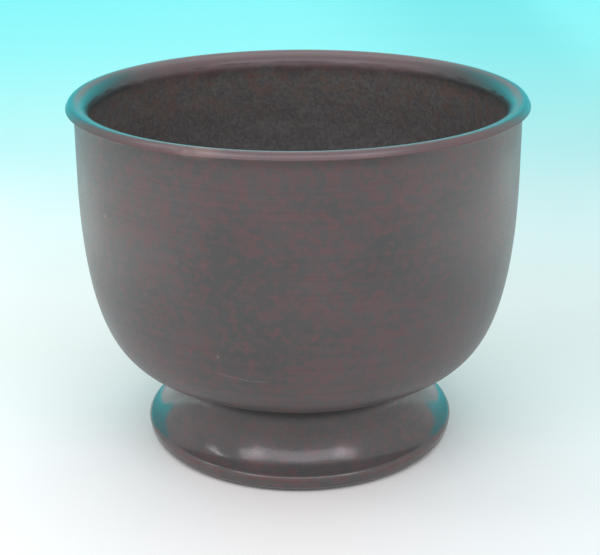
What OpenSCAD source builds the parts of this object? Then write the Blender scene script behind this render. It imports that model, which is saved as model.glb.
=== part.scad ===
// Footed bowl: a cast and turned shell bolted to a flared pedestal foot.
// Origin: centre of the bottom, on the surface it stands on. +Z up. Millimetres.

/* [Overall] */
// Outer diameter of the lip
lip_d = 251.5; // [230:0.5:280]
// Height of the top of the lip above the table
total_h = 199; // [190:1:215]

/* [Bowl] */
// How far the lip stands out beyond the wall
lip_overhang = 3.8; // [2:0.1:5]
// Height at which the wall has stopped widening
belly_z = 153; // [135:1:165]
// Height of the flat underside
under_z = 45; // [43.5:0.1:46]
// How square the belly turns: a smaller value is a fuller, squarer belly
belly_turn = 0.25; // [0.22:0.01:0.32]
// Wall thickness at the belly; it grows towards the lip's roll
wall_t = 6; // [4:0.5:7]
// Thickness of the floor inside
floor_t = 5.5; // [5:0.5:8]

/* [Lip] */
// Height of the lip's crest above its sharp lower edge
lip_h = 3.9; // [3:0.1:5]
// Radius of the roll from the crest down the inside
roll_r = 9; // [6:0.5:10]

/* [Foot] */
// Radius of the foot's sharp outer edge
rim_r = 89.5; // [88:0.5:95]
// Height of that edge above the table
rim_z = 8.5; // [7:0.5:10]
// Outer radius of the face the foot stands on
base_r = 85.5; // [80:0.5:87]
// Outer radius of the neck under the bowl
neck_r = 68.5; // [66:0.5:69]
// Radius at which the long flare turns into the flatter dish above the rim
dish_r = 81.4; // [80:0.1:82.4]
// Slope of the surface where the flare meets the dish
flare_angle = 44; // [41:1:47]
// Slope of the surface where the dish meets the rim
dish_angle = 68; // [63:1:72]

/* [Fixings] */
// Nominal diameter of the centre stud
stud_d = 10; // [8:1:12]
// Width across the flats of the nut
nut_af = 17; // [15:1:19]
// Outer diameter of the plain washer
washer_d = 30; // [24:1:34]

/* [Hidden] */
$fn = 96;

bronze = [0.27, 0.19, 0.18];
steel = [0.66, 0.66, 0.64];
rubber = [0.12, 0.12, 0.12];
felt = [0.16, 0.24, 0.18];

// Bowl
lip_z = total_h - lip_h;  // the lip's sharp lower edge
lip_r = lip_d / 2;
wall_r = lip_r - lip_overhang;
inner_r = wall_r - wall_t;
floor_z = under_z + floor_t;
seat_angle = 86;          // where the belly's curve meets the flat underside
height_turn = 0.917;      // exponent of the belly's height
wall_lean = 0.4;          // the wall leans in this much by the time it meets the lip
edge_turn = 15;           // the lip's side faces this far up from level at its sharp edge
side_turn = 42;           // and this far up where it turns over the crest
boss_r = 14;              // locating boss under the bowl
boss_h = 6;
stud_depth = 8;           // thread depth in the boss, above its lower face

// Lip: a nearly flat side, a tight turn over the crest, then the roll down the inside
crest_turn = lip_h / 2;
lip_side_r = (lip_h - crest_turn * (1 - sin(side_turn))) / (sin(side_turn) - sin(edge_turn));
lip_side_c = [lip_r, lip_z] - lip_side_r * [cos(edge_turn), sin(edge_turn)];
crest_c = lip_side_c + (lip_side_r - crest_turn) * [cos(side_turn), sin(side_turn)];

// Foot
gasket_t = 1.2;
gasket_r = 60;
seat_z = under_z - gasket_t;
edge_angle = 16.6;        // slope of the surface at the sharp edge
edge_r = 3.5;             // rounding of the rim above its sharp edge
foot_t = 6;               // wall thickness of the flare
web_t = 6;                // disc that closes the top of the foot
hub_r = 24;
hub_z = 32;
clearance = 0.3;

// Standing ring, and the felt let into it, which stands a little proud
ring_r = base_r - 12.5;
felt_in = base_r - 10;
felt_out = base_r - 1.5;
felt_t = 2;
felt_proud = 0.6;

// Fixings, hanging under the hub in the order they are put on
washer_t = 2.5;
lock_t = 2.2;
lock_d = 18;
lock_gap = 2.4;
nut_h = 8;
washer_z = hub_z - washer_t;
lock_z = washer_z - lock_t;
nut_z = lock_z - nut_h;
stud_end_z = nut_z - 5;

// Rounding above the rim's sharp edge, then the dish, then the flare up to the neck: arcs that run into each other
edge_c = [rim_r, rim_z] - edge_r * [cos(edge_angle), sin(edge_angle)];
dish_end = edge_c + edge_r * [cos(dish_angle), sin(dish_angle)];
dish_arc_r = (dish_end[0] - dish_r) / (cos(flare_angle) - cos(dish_angle));
dish_c = dish_end + dish_arc_r * [cos(dish_angle), sin(dish_angle)];
neck_z = seat_z - 0.8;
dish_z = dish_c[1] - dish_arc_r * sin(flare_angle);
neck_angle = 2 * atan((dish_r - neck_r) / (neck_z - dish_z)) - flare_angle;
flare_r = (neck_z - dish_z) / (sin(flare_angle) - sin(neck_angle));
flare_c = [dish_r, dish_z] + flare_r * [cos(flare_angle), sin(flare_angle)];
inner_start = asin((flare_c[1] - seat_z + web_t) / (flare_r + foot_t));
inner_end = acos((flare_c[0] - ring_r) / (flare_r + foot_t));

// Points on an arc about c, from angle a to angle b
function arc(c, r, a, b, n) =
    [for (i = [0:n]) c + r * [cos(a + (b - a) * i / n), sin(a + (b - a) * i / n)]];

// Points down the belly, from the straight wall to its flat bottom, on a full-bodied quarter curve
function belly(r, bottom, n) = concat(
    [for (i = [0:n]) let (a = seat_angle * i / n)
        [r * pow(cos(a), belly_turn), belly_z - (belly_z - bottom) * pow(sin(a), height_turn)]],
    [[r * pow(cos(seat_angle), belly_turn) - 0.8, bottom]]);

function reversed(points) = [for (i = [len(points) - 1:-1:0]) points[i]];

module bowl_section() {
    polygon(concat(
        [[0, under_z - boss_h], [boss_r, under_z - boss_h], [boss_r, under_z]],
        reversed(belly(wall_r, under_z, 30)),
        [[wall_r - wall_lean, lip_z]],
        arc(lip_side_c, lip_side_r, edge_turn, side_turn, 5),
        arc(crest_c, crest_turn, side_turn, 90, 6),
        arc([crest_c[0], total_h - roll_r], roll_r, 90, 180, 12),
        belly(inner_r, floor_z, 30),
        [[0, floor_z]]
    ));
}

module bowl() {
    color(bronze)
    difference() {
        rotate_extrude($fn = 180) bowl_section();
        translate([0, 0, under_z - boss_h - 1]) cylinder(d = stud_d, h = stud_depth + 1);
    }
}

module foot_section() {
    polygon(concat(
        [[ring_r, felt_proud], [felt_in, felt_proud], [felt_in, felt_t], [felt_out, felt_t],
         [felt_out, felt_proud], [base_r, felt_proud], [rim_r - 0.7, rim_z - 5]],
        arc(edge_c, edge_r, edge_angle, dish_angle, 6),
        arc(dish_c, dish_arc_r, 180 + dish_angle, 180 + flare_angle, 8),
        arc(flare_c, flare_r, 180 + flare_angle, 180 + neck_angle, 16),
        [[neck_r - 0.8, seat_z]],
        [[0, seat_z], [0, hub_z], [hub_r, hub_z], [hub_r, seat_z - web_t]],
        arc(flare_c, flare_r + foot_t, 180 + inner_start, 180 + inner_end, 12)
    ));
}

module foot() {
    color(bronze)
    difference() {
        rotate_extrude($fn = 180) foot_section();
        translate([0, 0, under_z - boss_h - clearance]) cylinder(r = boss_r + clearance, h = boss_h + 1);
        translate([0, 0, hub_z - 1]) cylinder(d = stud_d + 1, h = seat_z - hub_z + 2);
    }
}

// A flat ring standing on height z
module ring(outer_r, inner_r, h, z) {
    translate([0, 0, z]) difference() {
        cylinder(r = outer_r, h = h);
        translate([0, 0, -1]) cylinder(r = inner_r, h = h + 2);
    }
}

module seat_gasket() {
    color(rubber) ring(gasket_r, boss_r + 4, gasket_t, seat_z);
}

module felt_ring() {
    color(felt) ring(felt_out, felt_in, felt_t, 0);
}

module stud() {
    chamfer = 1.2;
    length = under_z - boss_h + stud_depth - stud_end_z;
    color(steel) translate([0, 0, stud_end_z]) {
        cylinder(d1 = stud_d - 2 * chamfer, d2 = stud_d, h = chamfer);
        translate([0, 0, chamfer]) cylinder(d = stud_d, h = length - chamfer);
    }
}

module washer() {
    color(steel) ring(washer_d / 2, stud_d / 2 + clearance, washer_t, washer_z);
}

module spring_washer() {
    color(steel) difference() {
        ring(lock_d / 2, stud_d / 2 + clearance, lock_t, lock_z);
        translate([0, -lock_gap / 2, lock_z - 1]) cube([lock_d, lock_gap, lock_t + 2]);
    }
}

module hex_nut() {
    corner_r = nut_af / 2 / cos(30);
    chamfer_r = nut_af / 2 - 0.2;
    color(steel) translate([0, 0, nut_z]) difference() {
        intersection() {
            cylinder(r = corner_r, h = nut_h, $fn = 6);
            cylinder(r1 = chamfer_r, r2 = chamfer_r + nut_h * 1.7, h = nut_h);
            cylinder(r1 = chamfer_r + nut_h * 1.7, r2 = chamfer_r, h = nut_h);
        }
        translate([0, 0, -1]) cylinder(d = stud_d, h = nut_h + 2);
    }
}

bowl();
foot();
seat_gasket();
stud();
washer();
spring_washer();
hex_nut();
felt_ring();
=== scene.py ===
# Footed flower bowl in mottled brown patina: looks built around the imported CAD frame.
# Profiles are lists of (radius, height) in millimetres.
# Every mesh is written in metres, in the CAD's own frame.
import math
import bpy
from mathutils import Matrix, Vector, noise


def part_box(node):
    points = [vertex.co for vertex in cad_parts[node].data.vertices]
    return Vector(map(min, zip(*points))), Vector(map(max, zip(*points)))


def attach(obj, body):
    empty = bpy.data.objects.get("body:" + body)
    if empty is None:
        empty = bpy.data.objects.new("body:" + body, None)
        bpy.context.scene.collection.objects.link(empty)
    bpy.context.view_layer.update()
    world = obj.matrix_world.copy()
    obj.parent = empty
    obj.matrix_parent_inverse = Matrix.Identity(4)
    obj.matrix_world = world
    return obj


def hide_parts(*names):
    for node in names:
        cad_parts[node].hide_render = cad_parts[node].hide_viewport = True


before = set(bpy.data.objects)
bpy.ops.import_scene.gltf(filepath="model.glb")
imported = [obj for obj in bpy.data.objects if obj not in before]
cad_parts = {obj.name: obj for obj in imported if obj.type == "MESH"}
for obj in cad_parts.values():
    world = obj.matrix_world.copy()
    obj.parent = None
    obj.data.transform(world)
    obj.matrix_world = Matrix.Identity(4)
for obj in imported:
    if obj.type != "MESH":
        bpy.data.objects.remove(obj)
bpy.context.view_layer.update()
scene = bpy.context.scene
MM = 0.001


# ---------- positions, read from the CAD nodes ----------
def edges(node):
    """Outer radius, bottom and top of a node, in millimetres."""
    lo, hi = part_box(node)
    return (max(hi.x, hi.y) / MM, lo.z / MM, hi.z / MM)


LIP_R, BOSS_Z, TOP_Z = edges("bowl")
RIM_R, FOOT_Z, SEAT_Z = edges("foot")
GASKET_R, _, UNDER_Z = edges("seat_gasket")
FELT_R, FELT_Z, FELT_TOP = edges("felt_ring")
STUD_R, STUD_Z, STUD_TOP = edges("stud")
WASHER_R, WASHER_Z, HUB_Z = edges("washer")
LOCK_R, LOCK_Z, _ = edges("spring_washer")
_, NUT_Z, NUT_TOP = edges("hex_nut")
NUT_CORNER = max(math.hypot(v.co.x, v.co.y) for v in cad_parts["hex_nut"].data.vertices) / MM


# ---------- profiles ----------
def sin(degrees):
    return math.sin(math.radians(degrees))


def cos(degrees):
    return math.cos(math.radians(degrees))


def on_arc(c, r, a):
    return (c[0] + r * cos(a), c[1] + r * sin(a))


def arc(c, r, a, b, n):
    return [on_arc(c, r, a + (b - a) * i / n) for i in range(n + 1)]


def soften(points):
    """Points are (r, z) or (r, z, radius): those with a radius become a small fillet."""
    steps = 4
    out = []
    for i, p in enumerate(points):
        if len(p) == 2:
            out.append(p)
            continue
        a, b, c = (Vector(points[j][:2]) for j in (i - 1, i, (i + 1) % len(points)))
        u, v = (a - b).normalized(), (c - b).normalized()
        cut = min(p[2], 0.45 * (a - b).length, 0.45 * (c - b).length)
        for k in range(steps + 1):
            t = k / steps
            q = (b + u * cut) * (1 - t) ** 2 + b * 2 * t * (1 - t) + (b + v * cut) * t ** 2
            out.append((q.x, q.y))
    return out


def fill_in(points, step, closed=False):
    """Adds points along stretches longer than step."""
    out = []
    ends = points + [points[0]] if closed else points
    for (r0, z0), (r1, z1) in zip(ends, ends[1:]):
        n = max(1, math.ceil(math.hypot(r1 - r0, z1 - z0) / step))
        out += [(r0 + (r1 - r0) * k / n, z0 + (z1 - z0) * k / n) for k in range(n)]
    return out if closed else out + [points[-1]]


def even(points, step):
    """The same line with its points spaced evenly."""
    length = [0.0]
    for a, b in zip(points, points[1:]):
        length.append(length[-1] + math.dist(a, b))
    n = round(length[-1] / step)
    out, k = [], 0
    for i in range(n + 1):
        s = length[-1] * i / n
        while k < len(points) - 2 and length[k + 1] < s:
            k += 1
        t = (s - length[k]) / (length[k + 1] - length[k])
        out.append(tuple(a + (b - a) * t for a, b in zip(points[k], points[k + 1])))
    return out


def worn(points, edge, reach):
    """How much each point is rubbed: 1 at the sharp edge, fading within a few times reach."""
    return [math.exp(-(math.dist(p, edge) / reach) ** 2) for p in points]


# ---------- meshes ----------
def finish_mesh(name, verts, faces, marks=None, crease=38):
    """Makes the object from millimetres; marks are the material's attributes, one value a vertex."""
    mesh = bpy.data.meshes.new(name)
    mesh.from_pydata([(x * MM, y * MM, z * MM) for x, y, z in verts], [], faces)
    for key, values in (marks or {}).items():
        mesh.attributes.new(key, "FLOAT", "POINT").data.foreach_set("value", values)
    mesh.shade_smooth()
    mesh.set_sharp_from_angle(angle=math.radians(crease))
    piece = bpy.data.objects.new(name, mesh)
    scene.collection.objects.link(piece)
    return piece


def lathe(name, profile, sides, closed=False, move=None, marks=None, crease=38):
    """Turns a profile about Z, with that many sides. Each mark has one value for each profile point.

    move(r, z, angle, k) gives the r and z of profile point k at that angle."""
    marks = marks or {}
    verts, faces, rows = [], [], []
    values = {key: [] for key in marks}
    for k, (r, z) in enumerate(profile):
        ring = [(0, 0, z)]
        if r > 1e-6:
            ring = []
            for i in range(sides):
                angle = 2 * math.pi * i / sides
                new_r, new_z = move(r, z, angle, k) if move else (r, z)
                ring.append((new_r * math.cos(angle), new_r * math.sin(angle), new_z))
        rows.append([len(verts) + i % len(ring) for i in range(sides)])
        verts += ring
        for key in values:
            values[key] += [marks[key][k]] * len(ring)
    pairs = list(zip(rows, rows[1:]))
    if closed:
        pairs.append((rows[-1], rows[0]))
    for low, high in pairs:
        for i in range(sides):
            j = (i + 1) % sides
            face = list(dict.fromkeys((low[i], low[j], high[j], high[i])))
            if len(face) > 2:
                faces.append(tuple(face))
    return finish_mesh(name, verts, faces, values, crease)


def wave(x, y, z, scale, seed):
    """Smooth unevenness from -1 to 1."""
    return noise.noise(Vector((x * scale + seed, y * scale - seed, z * scale + 2 * seed)))


# ---------- bowl ----------
OVERHANG = 3.8          # the lip stands out this far beyond the wall
LIP_H = 3.9             # its crest above its sharp lower edge
ROLL_R = 9.0            # the roll from the crest down the inside
EDGE_TURN = 15          # the lip's side faces this far up from level at its edge
SIDE_TURN = 42          # and this far where it turns over the crest
WALL_LEAN = 0.4         # the wall leans in this much by the lip
WALL_T, FLOOR_T = 6, 5.5
BELLY_Z = 153.0         # where the wall has stopped widening
BOSS_R = 14
SKIN = 0.01             # curved faces are drawn this far inside the CAD's
STEP = 2                # spacing of the points down the wall
BOWL_SIDES = 348        # keeps the bowl's mesh under 200,000 faces

LIP_Z = TOP_Z - LIP_H
WALL_R = LIP_R - OVERHANG
INNER_R = WALL_R - WALL_T
FLOOR_Z = UNDER_Z + FLOOR_T


def belly(r, bottom):
    """The full-bodied quarter curve from the wall to a flat bottom, as in the CAD."""
    turn, height_turn, last, n = 0.25, 0.917, 86, 400
    out = [(r * cos(last * i / n) ** turn,
            BELLY_Z - (BELLY_Z - bottom) * sin(last * i / n) ** height_turn)
           for i in range(n + 1)]
    return out + [(out[-1][0] - 0.8, bottom)]


underside = fill_in(soften([(0, BOSS_Z), (BOSS_R, BOSS_Z, 0.8), (BOSS_R, UNDER_Z, 0.6),
                            (GASKET_R, UNDER_Z)]), 4)
wall = fill_in([(WALL_R - SKIN, BELLY_Z + 2), (WALL_R - WALL_LEAN + SKIN, LIP_Z - 2.2)], STEP)
outside = underside + even(belly(WALL_R, UNDER_Z)[::-1], STEP) + wall
under_lip = soften([(WALL_R - WALL_LEAN, LIP_Z - 1.7), (WALL_R - WALL_LEAN, LIP_Z, 1.3),
                    (LIP_R - 0.1, LIP_Z, 0.35), (LIP_R - 0.13, LIP_Z + 0.6)])
crest_turn = LIP_H / 2
side_r = (LIP_H - crest_turn * (1 - sin(SIDE_TURN))) / (sin(SIDE_TURN) - sin(EDGE_TURN))
side_c = on_arc((LIP_R, LIP_Z), -side_r, EDGE_TURN)
crest_c = on_arc(side_c, side_r - crest_turn, SIDE_TURN)
roll_c = (crest_c[0], TOP_Z - ROLL_R)
roll = arc(roll_c, ROLL_R - SKIN, 90, 150, 20)[1:]
lip_top = (arc(side_c, side_r - SKIN, EDGE_TURN + 6, SIDE_TURN, 10)
           + arc(crest_c, crest_turn - SKIN, SIDE_TURN, 90, 12)[1:]
           + roll)
inside = (arc(roll_c, ROLL_R - SKIN, 152, 180, 8)
          + fill_in([(roll_c[0] - ROLL_R + 0.05, roll_c[1] - 1.4), (INNER_R, BELLY_Z + 1)], STEP)
          + even(belly(INNER_R, FLOOR_Z), STEP)
          + fill_in([(57, FLOOR_Z), (0, FLOOR_Z)], 4))
profile = outside + under_lip + lip_top + inside
first_lip = len(outside) + len(under_lip)
first_in = len(profile) - len(inside)
first_roll = first_in - len(roll)
bowl_marks = {
    "depth": [TOP_Z - z if k >= first_roll else 0.0 for k, (r, z) in enumerate(profile)],
    "wear": worn(profile, (LIP_R, LIP_Z), 1.2),
    "polish": [1.0 if k >= first_lip and z >= roll_c[1] else 0.0 for k, (r, z) in enumerate(profile)]}


def shape_bowl(r, z, angle, k):
    """Uneven casting inside, below the lip, and a very slightly uneven turned wall outside."""
    x, y = r * math.cos(angle), r * math.sin(angle)
    if k >= first_in and z < TOP_Z - 6 and r > 20:
        cast = 0.30 * wave(x, y, z, 0.10, 3) + 0.12 * wave(x, y, z, 0.33, 7)
        facing = Vector((r, (z - BELLY_Z) * 0.8 if z < BELLY_Z else 0)).normalized()
        return r + cast * facing.x, z + cast * facing.y
    if k < len(outside) and r > 65:
        return r + 0.08 * (wave(x, y, z, 0.02, 1) - 1) + 0.03 * noise.noise(Vector((0.3, z * 0.35, 5))), z
    return r, z


bowl = lathe("bowl_shell", profile, BOWL_SIDES, move=shape_bowl, marks=bowl_marks)

# ---------- foot ----------
NECK_R, NECK_Z = 68.5, SEAT_Z - 0.8
DISH_R = 81.4                   # where the flare turns into the dish above the rim
FLARE_A, DISH_A = 44, 68        # slopes at the two ends of the dish
RIM_Z = 8.5                     # height of the sharp edge
EDGE_R, EDGE_A = 3.5, 16.6      # rounding above it, and the slope it starts with
FOOT_T, HUB_R = 6, 24
CLEARANCE = 0.3                 # round the boss and the stud
AS_CAST = 20.0                  # a depth well inside the bowl, where the casting is left rough
GROOVE_R = FELT_R - 8.5         # inner side of the felt's groove
base_r = FELT_R + 1.5
ring_r = base_r - 12.5          # inner side of the ring that it stands on
hole_r = BOSS_R + CLEARANCE
stud_hole_r = STUD_R + 0.5
socket_z = BOSS_Z - CLEARANCE

edge_c = on_arc((RIM_R, RIM_Z), -EDGE_R, EDGE_A)
dish_end = on_arc(edge_c, EDGE_R, DISH_A)
dish_r = (dish_end[0] - DISH_R) / (cos(FLARE_A) - cos(DISH_A))
dish_c = on_arc(dish_end, dish_r, DISH_A)
dish_z = on_arc(dish_c, -dish_r, FLARE_A)[1]
neck_a = 2 * math.degrees(math.atan((DISH_R - NECK_R) / (NECK_Z - dish_z))) - FLARE_A
flare_r = (NECK_Z - dish_z) / (sin(FLARE_A) - sin(neck_a))
flare_c = on_arc((DISH_R, dish_z), flare_r, FLARE_A)
inner_a = math.degrees(math.asin((flare_c[1] - SEAT_Z + FOOT_T) / (flare_r + FOOT_T)))
inner_b = math.degrees(math.acos((flare_c[0] - ring_r) / (flare_r + FOOT_T)))

rim = soften([(base_r - 2, FOOT_Z), (base_r, FOOT_Z, 0.6), (RIM_R - 0.7, RIM_Z - 5, 0.8),
              (RIM_R - 0.05, RIM_Z - 0.5)])
neck = soften([(NECK_R - 0.02, NECK_Z + 0.2), (NECK_R - 0.2, SEAT_Z, 0.5), (NECK_R - 1.2, SEAT_Z)])
foot_outer = fill_in(rim
                     + arc(edge_c, EDGE_R - SKIN, EDGE_A, DISH_A, 10)
                     + arc(dish_c, dish_r, 180 + DISH_A, 180 + FLARE_A, 12)[1:]
                     + arc(flare_c, flare_r, 180 + FLARE_A, 180 + neck_a, 36)[1:]
                     + neck, 1.4)
hub = soften([(hole_r + 1.1, SEAT_Z), (hole_r + 0.6, SEAT_Z - 0.1), (hole_r, SEAT_Z - 0.6),
              (hole_r, socket_z), (stud_hole_r, socket_z), (stud_hole_r, HUB_Z, 0.6),
              (HUB_R, HUB_Z, 1.2), (HUB_R + 0.4, SEAT_Z - FOOT_T, 2.0), (62, SEAT_Z - FOOT_T)])
hollow = fill_in(arc(flare_c, flare_r + FOOT_T, 180 + inner_a, 180 + inner_b, 30), 2)
standing_ring = soften([(ring_r, FOOT_Z + 0.5), (ring_r + 0.4, FOOT_Z), (GROOVE_R, FOOT_Z, 0.2),
                        (GROOVE_R, FELT_TOP), (FELT_R, FELT_TOP), (FELT_R, FOOT_Z, 0.2),
                        (base_r - 2.2, FOOT_Z)])
foot_line = foot_outer + fill_in(hub + hollow + standing_ring, 1.6)
foot_marks = {
    "depth": [0.0] * len(foot_outer) + [AS_CAST] * (len(foot_line) - len(foot_outer)),
    "wear": worn(foot_line, (RIM_R, RIM_Z), 1.1)}
foot = lathe("foot_flare", foot_line, 384, closed=True, marks=foot_marks)

# ---------- seat gasket ----------
GASKET_IN = BOSS_R + 4
gasket_low, gasket_high = SEAT_Z + 0.02, UNDER_Z - 0.02
gasket_line = soften([(GASKET_IN, gasket_low, 0.3), (GASKET_R, gasket_low, 0.35),
                      (GASKET_R, gasket_high, 0.35), (GASKET_IN, gasket_high, 0.3)])
gasket = lathe("gasket", gasket_line, 160, closed=True)


# ---------- felt ring ----------
def fuzz(r, z, angle, k):
    """Uneven felt, pressed a little flatter where it stands."""
    x, y = r * math.cos(angle), r * math.sin(angle)
    return (r + 0.12 * wave(x, y, z, 0.9, 2), z + (0.1 * abs(wave(x, y, z, 1.1, 6)) if z < 1 else 0))


felt_line = soften([(GROOVE_R, FELT_Z, 0.5), (FELT_R - 0.15, FELT_Z, 0.5),
                    (FELT_R - 0.15, FELT_TOP), (GROOVE_R + 0.15, FELT_TOP)])
felt = lathe("felt_pad", fill_in(felt_line, 1.2, closed=True), 420, closed=True, move=fuzz)

# ---------- stud ----------
PITCH = 1.5                     # of the stud's thread


def thread(r, z, angle, k):
    """Cuts a V groove that climbs one pitch a turn; the ends stay plain."""
    if r < STUD_R - 1.3 or z > STUD_TOP - 0.3:
        return r, z
    turn = ((z - STUD_Z) / PITCH - angle / (2 * math.pi)) % 1.0
    groove = 0.92 * min(1, max(0, 1.25 * (1 - abs(2 * turn - 1)) - 0.12))
    ease = min(1, (z - STUD_Z) / 1.2)
    return r - groove * ease, z


rises = [0.1 + PITCH / 12 * i for i in range(int((STUD_TOP - STUD_Z - 0.4) * 12 / PITCH))]
stud_line = ([(0, STUD_Z), (STUD_R - 1.4, STUD_Z), (STUD_R - 1.2, STUD_Z + 0.08)]
             + [(min(STUD_R - SKIN, STUD_R - 1.2 + rise), STUD_Z + rise) for rise in rises]
             + [(STUD_R - 0.6, STUD_TOP), (0, STUD_TOP)])
stud = lathe("stud_thread", stud_line, 72, move=thread, crease=50)

# ---------- washers ----------
BORE_R = STUD_R + CLEARANCE
LOCK_GAP = 2.4                  # width of the spring washer's split
washer_line = soften([(BORE_R, WASHER_Z, 0.3), (WASHER_R, WASHER_Z, 0.4),
                      (WASHER_R, HUB_Z, 0.25), (BORE_R, HUB_Z, 0.2)])
washer = lathe("washer_plain", washer_line, 128, closed=True)


def split_ring(name, line, gap, sides=120):
    """A ring cut by a gap of that width, at angle 0, with flat ends."""
    verts, faces, n = [], [], len(line)
    for i in range(sides + 1):
        for r, z in line:
            half_gap = math.asin(gap / 2 / r)
            angle = half_gap + (2 * math.pi - 2 * half_gap) * i / sides
            verts.append((r * math.cos(angle), r * math.sin(angle), z))
    for i in range(sides):
        for k in range(n):
            faces.append((i * n + k, (i + 1) * n + k, (i + 1) * n + (k + 1) % n, i * n + (k + 1) % n))
    faces += [tuple(range(n)), tuple(reversed(range(sides * n, sides * n + n)))]
    return finish_mesh(name, verts, faces)


lock_line = soften([(BORE_R, LOCK_Z, 0.2), (LOCK_R, LOCK_Z, 0.25),
                    (LOCK_R, WASHER_Z, 0.25), (BORE_R, WASHER_Z, 0.2)])
lock = split_ring("washer_spring", lock_line, LOCK_GAP)


# ---------- nut ----------
def hexagon(name, corner, bore, z0, z1, sides=180):
    """A nut: six flats, both ends chamfered to a circle, and a countersunk bore."""
    flat = corner * cos(30)
    turned = flat - 0.2
    chamfer_run = 1.7           # the chamfer goes in this far for each millimetre up
    sink = 0.7
    verts, faces = [], []
    for i in range(sides):
        angle = 2 * math.pi * i / sides
        side = flat / math.cos((angle + math.pi / 6) % (math.pi / 3) - math.pi / 6)
        rise = max(0.15, (side - turned) / chamfer_run)
        line = [(bore, z0 + sink), (bore + sink, z0), (turned, z0),
                (side - 0.12, z0 + rise), (side, z0 + rise + 0.2),
                (side, z1 - rise - 0.2), (side - 0.12, z1 - rise),
                (turned, z1), (bore + sink, z1), (bore, z1 - sink)]
        verts += [(r * math.cos(angle), r * math.sin(angle), z) for r, z in line]
    n = len(line)
    for i in range(sides):
        j = (i + 1) % sides
        for k in range(n):
            m = (k + 1) % n
            faces.append((i * n + k, j * n + k, j * n + m, i * n + m))
    return finish_mesh(name, verts, faces, crease=25)


nut = hexagon("nut", NUT_CORNER, STUD_R, NUT_Z, NUT_TOP)


# ---------- materials ----------
class Nodes:
    """Small helper: makes a material's nodes and links them. Values may be sockets, numbers or colours."""

    def __init__(self, name):
        self.material = bpy.data.materials.new(name)
        self.material.use_nodes = True
        self.tree = self.material.node_tree
        self.bsdf = self.tree.nodes["Principled BSDF"]
        self.place = self.new("ShaderNodeTexCoord").outputs["Object"]

    def new(self, kind, **settings):
        node = self.tree.nodes.new(kind)
        for key, value in settings.items():
            setattr(node, key, value)
        return node

    def put(self, socket, value):
        if isinstance(value, bpy.types.NodeSocket):
            self.tree.links.new(value, socket)
        elif isinstance(value, tuple) and len(value) == 3 and socket.type == "RGBA":
            socket.default_value = (*value, 1)
        else:
            socket.default_value = value

    def xyz(self):
        node = self.new("ShaderNodeSeparateXYZ")
        self.put(node.inputs[0], self.place)
        return node.outputs

    def stretch(self, scale=(1, 1, 1), turn=(0, 0, 0), shift=(0, 0, 0)):
        node = self.new("ShaderNodeMapping", vector_type="POINT")
        for key, value in (("Vector", self.place), ("Scale", scale), ("Rotation", turn),
                           ("Location", shift)):
            self.put(node.inputs[key], value)
        return node.outputs[0]

    def noise(self, vector, scale, detail, rough=0.5, warp=0.0):
        node = self.new("ShaderNodeTexNoise")
        for key, value in (("Vector", vector), ("Scale", scale), ("Detail", detail), ("Roughness", rough),
                           ("Distortion", warp)):
            self.put(node.inputs[key], value)
        return node.outputs["Fac"]

    def math(self, op, a, b=0.0):
        node = self.new("ShaderNodeMath", operation=op)
        self.put(node.inputs[0], a)
        self.put(node.inputs[1], b)
        return node.outputs[0]

    def add(self, first, *others):
        for other in others:
            first = self.math("ADD", first, other)
        return first

    def times(self, first, *others):
        for other in others:
            first = self.math("MULTIPLY", first, other)
        return first

    def less(self, a, b):
        return self.math("SUBTRACT", a, b)

    def ramp(self, value, low, high, out=(0.0, 1.0)):
        """Turns smoothly from out[0] to out[1] while the value goes from low to high."""
        node = self.new("ShaderNodeMapRange", interpolation_type="SMOOTHSTEP")
        for k, v in enumerate((value, low, high, *out)):
            self.put(node.inputs[k], v)
        return node.outputs[0]

    def mix(self, fac, a, b, blend="MIX"):
        node = self.new("ShaderNodeMix", data_type="RGBA", blend_type=blend)
        for k, v in ((0, fac), (6, a), (7, b)):
            self.put(node.inputs[k], v)
        return node.outputs[2]

    def blend(self, fac, a, b):
        node = self.new("ShaderNodeMix", data_type="FLOAT")
        for k, v in ((0, fac), (2, a), (3, b)):
            self.put(node.inputs[k], v)
        return node.outputs[0]

    def mark(self, name):
        return self.new("ShaderNodeAttribute", attribute_name=name).outputs["Fac"]

    def bump(self, height, distance, normal=None):
        node = self.new("ShaderNodeBump")
        node.inputs["Strength"].default_value = 1.0
        node.inputs["Distance"].default_value = distance
        self.put(node.inputs["Height"], height)
        if normal is not None:
            self.put(node.inputs["Normal"], normal)
        return node.outputs[0]

    def finish(self, **sockets):
        for key, value in sockets.items():
            self.put(self.bsdf.inputs[key.replace("_", " ")], value)
        return self.material


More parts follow.
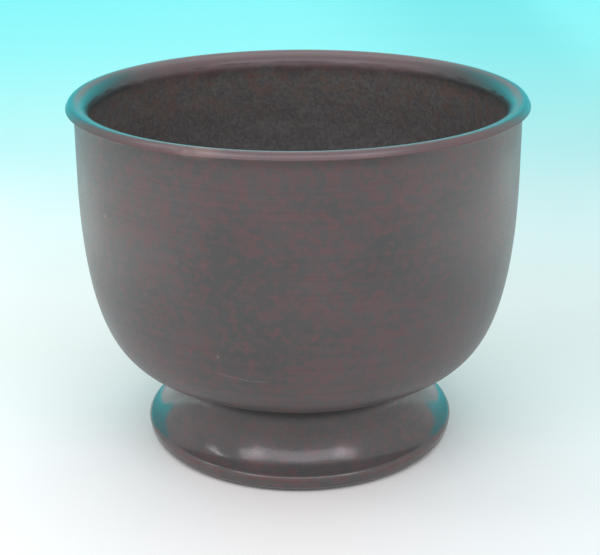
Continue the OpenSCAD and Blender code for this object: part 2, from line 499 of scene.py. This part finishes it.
class Patina(Nodes):
    """Brown patina on cast bronze. Each step lays its own colour and roughness over what is there."""

    def __init__(self, name, seed, tone, gloss, mottle):
        super().__init__(name)
        self.here = self.stretch(shift=(seed, seed * 2, -seed))
        self.clouds = self.noise(self.here, 22, 3, 0.55)
        self.fine = self.noise(self.here, 900, 3, 0.6)
        self.lines = self.noise(self.stretch((3, 3, 420), shift=(0, 0, seed)), 1.0, 2, 0.6)
        self.depth = self.mark("depth")
        self.mottling(seed, tone, mottle)
        self.rough = self.add(self.ramp(self.clouds, 0.3, 0.7, (gloss, gloss + 0.07)),
                              self.ramp(self.fine, 0.3, 0.7, (0.0, 0.07)))
        self.rubbed_edge()
        self.specks()
        self.rough_casting()

    def lay(self, amount, colour):
        self.colour = self.mix(amount, self.colour, colour)

    def mottling(self, seed, tone, mottle):
        """Red blotches on brown, with fine grain and turning lines. tone scales how light it is."""
        def shade(*rgb):
            return tuple(c * tone for c in rgb)

        blotch = self.noise(self.here, 230, 3, 0.5, 0.4)
        flat = self.noise(self.stretch((1, 1, 3.2), shift=(seed, 0, 0)), 150, 3, 0.5)
        red = self.add(self.times(blotch, 0.6), self.times(flat, 0.25), self.times(self.clouds, 0.14))
        self.colour = self.mix(self.ramp(self.clouds, 0.35, 0.68), shade(0.043, 0.044, 0.044),
                               shade(0.058, 0.053, 0.054))
        self.lay(self.times(self.ramp(red, 0.42, 0.62), mottle), shade(0.118, 0.041, 0.043))
        self.lay(self.ramp(self.fine, 0.30, 0.75, (0.0, 0.22)), (0.035, 0.032, 0.034))
        self.lay(self.ramp(self.lines, 0.52, 0.74, (0.0, 0.22)), (0.034, 0.028, 0.030))

    def rubbed_edge(self):
        """Bare metal shows in patches along the sharp edge."""
        wear = self.times(self.mark("wear"), self.ramp(self.noise(self.here, 130, 4, 0.65), 0.34, 0.62))
        self.lay(self.times(wear, 0.5), (0.17, 0.075, 0.07))
        self.metal = self.times(wear, 0.35)

    def specks(self):
        """Small pale specks: one in seven cells holds one."""
        cells = self.new("ShaderNodeTexVoronoi", feature="F1")
        self.put(cells.inputs["Vector"], self.here)
        self.put(cells.inputs["Scale"], 52.0)
        pick = self.new("ShaderNodeSeparateColor")
        self.put(pick.inputs[0], cells.outputs["Color"])
        speck = self.times(self.ramp(cells.outputs["Distance"], 0.055, 0.03),
                           self.math("GREATER_THAN", pick.outputs[0], 0.86))
        self.lay(self.times(speck, 0.22), (0.36, 0.31, 0.29))

    def rough_casting(self):
        """The smooth band under the lip ends at a ragged line; below it the casting is dull and rusty."""
        ragged = self.add(self.depth, self.times(self.less(self.noise(self.here, 95, 4, 0.6), 0.5), 12.0))
        self.cast = self.ramp(ragged, 4.0, 18.0)
        self.grains = self.noise(self.here, 420, 4, 0.7)
        self.pits = self.noise(self.here, 150, 4, 0.6)
        dull = self.mix(self.ramp(self.grains, 0.38, 0.68), (0.085, 0.082, 0.081), (0.128, 0.120, 0.117))
        rusty = self.times(self.ramp(self.pits, 0.44, 0.66), self.ramp(self.depth, 60.0, 4.0))
        self.lay(self.cast, self.mix(self.times(rusty, 0.75), dull, (0.142, 0.084, 0.062)))
        self.rough = self.blend(self.cast, self.rough, self.ramp(self.grains, 0.35, 0.65, (0.48, 0.68)))

    def waxed_lip_and_painted_reflection(self):
        """Smooth and waxed all round. Painted reflection: dark teal at the two sides, from the teal
        backdrop; pinker at the front and back, partly wear and partly painted reflection of the front
        lamp.
        """
        lip = self.mark("polish")
        sideways = self.add(self.math("ABSOLUTE", self.xyz()["Y"]), self.times(self.clouds, 0.04))
        front_and_back = self.ramp(sideways, 0.065, 0.125)
        painted_teal_sides = self.times(lip, self.ramp(front_and_back, 1.0, 0.0, (0.0, 0.75)))
        pink_wear_and_reflection = self.times(lip, front_and_back, self.ramp(self.cast, 0.8, 0.2, (0.0, 0.5)))
        smooth = self.ramp(self.depth, 1.8, 4.5, (0.31, 0.45))
        # painted reflection: dark teal at the sides; the pink at the front and back is partly wear and
        # partly painted reflection
        self.lay(painted_teal_sides, (0.024, 0.036, 0.036))
        self.lay(pink_wear_and_reflection, (0.115, 0.062, 0.072))
        self.rough = self.blend(self.times(lip, 0.8), self.rough, smooth)
        self.finish(Coat_Weight=self.times(lip, 0.4), Coat_Roughness=0.3)

    def rubbed_patch(self, centre):
        """One patch rubbed to pinkish brown, wider than it is high."""
        squash = 3.2
        gap = self.new("ShaderNodeVectorMath", operation="DISTANCE")
        self.put(gap.inputs[0], self.stretch((1, 1, squash)))
        self.put(gap.inputs[1], (centre[0], centre[1], centre[2] * squash))
        rubbed = self.times(self.ramp(gap.outputs["Value"], 0.018, 0.006),
                            self.ramp(self.noise(self.here, 120, 3, 0.55), 0.25, 0.55))
        self.lay(self.times(rubbed, 0.75), (0.19, 0.125, 0.110))

    def scratch(self, x, z):
        """One thin scratch at the front that sags to its lowest point at x, z."""
        at = self.xyz()
        off = self.less(at["X"], x)
        curve = self.add(self.times(off, off, 6.4), z)
        near = self.ramp(self.math("ABSOLUTE", self.less(at["Z"], curve)), 0.00032, 0.0001)
        span = self.times(self.ramp(off, -0.0221, -0.0191), self.ramp(off, 0.0069, 0.0019))
        front = self.math("LESS_THAN", at["Y"], -0.09)
        broken = self.ramp(self.noise(self.here, 500, 2), 0.3, 0.5)
        self.lay(self.times(near, span, front, broken, 0.25), (0.33, 0.27, 0.25))

    def painted_corner_shade(self, z0, z1):
        """Painted shade in the corner under the bowl: from height z0 up to z1 the top of the foot is
        darkened and made rougher.
        """
        corner = self.ramp(self.xyz()["Z"], z0, z1)
        self.lay(self.times(corner, 0.85), (0.014, 0.013, 0.014))
        self.rough = self.blend(corner, self.rough, 0.7)

    def done(self):
        """Adds the relief: fine grain and turning lines outside, pits and grains where it is as cast."""
        skin = self.less(self.add(self.times(self.fine, 0.35), self.times(self.lines, 0.5)), 0.42)
        pitted = self.less(self.add(self.grains, self.pits), 1.0)
        normal = self.bump(self.times(skin, self.less(1.0, self.cast)), 0.00004)
        normal = self.bump(self.times(pitted, self.cast), 0.00018, normal)
        return self.finish(Base_Color=self.colour, Roughness=self.rough, Metallic=self.metal,
                           Normal=normal)


def bowl_patina():
    m = Patina("bowl_patina", seed=0.0, tone=1.17, gloss=0.29, mottle=0.50)
    m.waxed_lip_and_painted_reflection()
    m.rubbed_patch((-0.0475, -0.1145, 0.1968))
    m.scratch(-0.0209, 0.0778)
    return m.done()


def foot_patina():
    # the foot's patina is much lighter than the bowl's: painted light, standing in for light that the bowl
    # above keeps off the foot
    m = Patina("foot_patina", seed=0.7, tone=1.78, gloss=0.09, mottle=0.27)
    # painted shade where the bowl above shades the top of the foot
    m.painted_corner_shade((SEAT_Z - 12) * MM, (SEAT_Z - 6) * MM)
    return m.done()


def steel(name, tint, seed, rough=0.34):
    """Zinc plate: brushed, a little cloudy, with dull spots of white bloom."""
    m = Nodes(name)
    here = m.stretch(shift=(seed, -seed, seed))
    clouds, fine = m.noise(here, 260, 3), m.noise(here, 1900, 3)
    turned = m.noise(m.stretch((60, 60, 2600), shift=(seed, 0, 0)), 1.0, 2)
    bloom = m.ramp(m.noise(here, 620, 4, 0.65), 0.60, 0.74)
    colour = m.mix(m.ramp(clouds, 0.35, 0.7), tint, tuple(c * 0.72 for c in tint))
    colour = m.mix(m.times(bloom, 0.5), colour, (0.62, 0.61, 0.56))
    brushed = m.ramp(fine, 0.3, 0.7, (rough - 0.06, rough + 0.08))
    return m.finish(Base_Color=colour, Metallic=m.less(1.0, m.times(bloom, 0.7)),
                    Roughness=m.add(brushed, m.times(bloom, 0.25)),
                    Normal=m.bump(m.add(fine, turned), 0.00002))


def rubber(name):
    """Matt black sheet, dusty in places."""
    m = Nodes(name)
    fine, dust = m.noise(m.place, 1400, 3), m.noise(m.place, 90, 4, 0.6)
    colour = m.mix(m.ramp(dust, 0.45, 0.75, (0.0, 0.5)), (0.018, 0.018, 0.018), (0.07, 0.066, 0.06))
    return m.finish(Base_Color=colour, Roughness=m.ramp(fine, 0.3, 0.7, (0.62, 0.82)),
                    Normal=m.bump(fine, 0.00008))


def pressed_felt(name):
    """Dark green wool: matted fibres and soft lumps, a little grey where they are rubbed."""
    m = Nodes(name)
    fibres = m.noise(m.stretch(turn=(0.3, 0.2, 0.5)), 1500, 5, 0.75, 1.4)
    lumps = m.noise(m.place, 240, 3)
    colour = m.mix(m.ramp(fibres, 0.35, 0.7), (0.020, 0.040, 0.025), (0.060, 0.095, 0.062))
    colour = m.mix(m.ramp(lumps, 0.5, 0.8, (0.0, 0.35)), colour, (0.09, 0.09, 0.075))
    return m.finish(Base_Color=colour, Roughness=m.ramp(fibres, 0.3, 0.7, (0.85, 1.0)),
                    Sheen_Weight=0.4, Sheen_Roughness=0.5,
                    Normal=m.bump(m.add(fibres, lumps), 0.0003))


ZINC, NUT_ZINC, SPRING_STEEL = (0.55, 0.55, 0.53), (0.57, 0.56, 0.52), (0.30, 0.30, 0.30)
for piece, node, slot, material in (
        (bowl, "bowl", "bowl_bronze", bowl_patina()),
        (foot, "foot", "foot_bronze", foot_patina()),
        (gasket, "seat_gasket", "gasket_rubber", rubber("gasket_sheet")),
        (felt, "felt_ring", "felt", pressed_felt("felt_wool")),
        (stud, "stud", "stud_steel", steel("stud_zinc", ZINC, 0.1)),
        (washer, "washer", "washer_steel", steel("washer_zinc", ZINC, 0.3)),
        (lock, "spring_washer", "spring_washer_steel", steel("spring_steel", SPRING_STEEL, 0.5, 0.42)),
        (nut, "hex_nut", "nut_steel", steel("nut_zinc", NUT_ZINC, 0.8))):
    piece.data.materials.append(material)
    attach(piece, "root")
    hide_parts(node)


# ---------- floor and backdrop ----------
TEAL = (0.06, 0.85, 0.92)
# painted shade on the floor, to the right of the object
RIGHT_PAINTED_SHADE = (0.83, 0.885, 0.895)      # the floor is a little darker to the right of the object
BACK_Y = 2.2


def sheet(name, corners, tones, painted_glow=0.0):
    """Plain paper. Each tone is a distance behind the object and a colour; they run into each other. A
    glow above zero makes the sheet shine in its last tone, which is painted light.
    """
    mesh = bpy.data.meshes.new(name)
    mesh.from_pydata(corners, [], [(0, 1, 2, 3)])
    ob = bpy.data.objects.new(name, mesh)
    scene.collection.objects.link(ob)
    m = Nodes(name)
    at = m.xyz()
    colour = tones[0][1]
    for (y0, _), (y1, tone) in zip(tones, tones[1:]):
        step = m.new("ShaderNodeMapRange")
        for k, v in enumerate((at["Y"], y0, y1)):
            m.put(step.inputs[k], v)
        colour = m.mix(step.outputs[0], colour, tone)
    # painted shade: a band of floor to the right of the object is drawn darker
    right = m.times(m.ramp(at["X"], -0.02, 0.28), m.ramp(at["X"], 0.5, 0.35))
    colour = m.mix(right, colour, RIGHT_PAINTED_SHADE, blend="MULTIPLY")
    mesh.materials.append(m.finish(Base_Color=colour, Roughness=0.9, Specular_IOR_Level=0.1,
                                 Emission_Color=tones[-1][1], Emission_Strength=painted_glow))


sheet("floor", [(-5, -5, 0), (5, -5, 0), (5, BACK_Y, 0), (-5, BACK_Y, 0)],
      [(-0.16, (0.92, 0.93, 0.92)), (-0.04, (0.94, 0.95, 0.93)), (0.03, (0.895, 0.925, 0.90)),
       (0.10, (0.85, 0.88, 0.845)), (0.20, (0.84, 0.875, 0.84)), (0.30, (0.765, 0.845, 0.82)),
       (0.43, (0.68, 0.82, 0.80)), (0.61, (0.545, 0.82, 0.805)), (0.84, (0.45, 0.84, 0.815)),
       (1.17, (0.357, 0.86, 0.843)), (1.67, (0.343, 0.865, 0.86))])
# the teal backdrop glows: painted light, so that it shows bright in the bronze's reflections
for name, x0, x1, z0, z1 in (
        ("backdrop", -2.4, 2.4, 0, 0.62),
        ("backdrop_left", -2.4, -0.3, 0.62, 2.1),
        ("backdrop_right", 0.3, 2.4, 0.62, 2.1)):
    corners = [(x0, BACK_Y, z0), (x1, BACK_Y, z0), (x1, BACK_Y, z1), (x0, BACK_Y, z1)]
    sheet(name, corners, [(0, TEAL)], painted_glow=0.46)


# ---------- light and camera ----------
def soft_light(name, at, aim, width, height, power, colour=(1, 1, 1), spread=180):
    """A rectangular lamp; spread is the angle it lights, in degrees."""
    data = bpy.data.lights.new(name, "AREA")
    data.shape = "RECTANGLE"
    data.size, data.size_y, data.energy, data.color = width, height, power, colour
    data.spread = math.radians(spread)
    lamp = bpy.data.objects.new(name, data)
    lamp.location = at
    lamp.rotation_euler = (Vector(aim) - Vector(at)).to_track_quat("-Z", "Y").to_euler()
    scene.collection.objects.link(lamp)


AIM = (0, -0.08, 0.02)
soft_light("front", (0, -1.22, 1.42), AIM, 2.3, 0.42, 8.1, (1, 0.91, 1))
soft_light("front_left", (-0.98, -0.95, 1.40), AIM, 0.5, 0.42, 2.4, (1, 0.93, 1))
soft_light("front_right", (0.93, -1.0, 1.40), AIM, 0.5, 0.42, 1.9, (1, 0.91, 0.98))
soft_light("side_lamp", (-1.5, -0.2, 1.45), AIM, 0.2, 0.5, 1.6)
# two narrow beams brighten the floor beside the object, which the wall's sides reflect
soft_light("floor_left", (-0.53, 0.02, 0.9), (-0.53, 0.02, 0), 0.3, 0.85, 0.95, spread=25)
soft_light("floor_right", (0.56, 0.02, 0.9), (0.56, 0.02, 0), 0.3, 0.85, 1.05, spread=25)
soft_light("top", (0, 0.45, 1.75), (0, 0.45, 0), 1.3, 1.5, 6.0, (1, 0.94, 0.98))

world = bpy.data.worlds.new("room")
world.use_nodes = True
background = world.node_tree.nodes["Background"]
background.inputs["Color"].default_value = (1, 1, 1, 1)
background.inputs["Strength"].default_value = 0.85
scene.world = world

CAMERA_AT = (0.0005, -0.6707, 0.3495)
TILT = math.radians(68.88)      # from looking straight down
ROLL = -0.0056
camera = bpy.data.objects.new("camera", bpy.data.cameras.new("camera"))
camera.data.sensor_width = 36
camera.data.lens = 74.67
camera.matrix_world = (Matrix.Translation(CAMERA_AT) @ Matrix.Rotation(TILT, 4, "X")
                       @ Matrix.Rotation(ROLL, 4, "Z"))
scene.collection.objects.link(camera)
scene.camera = camera
scene.view_settings.view_transform = "Standard"
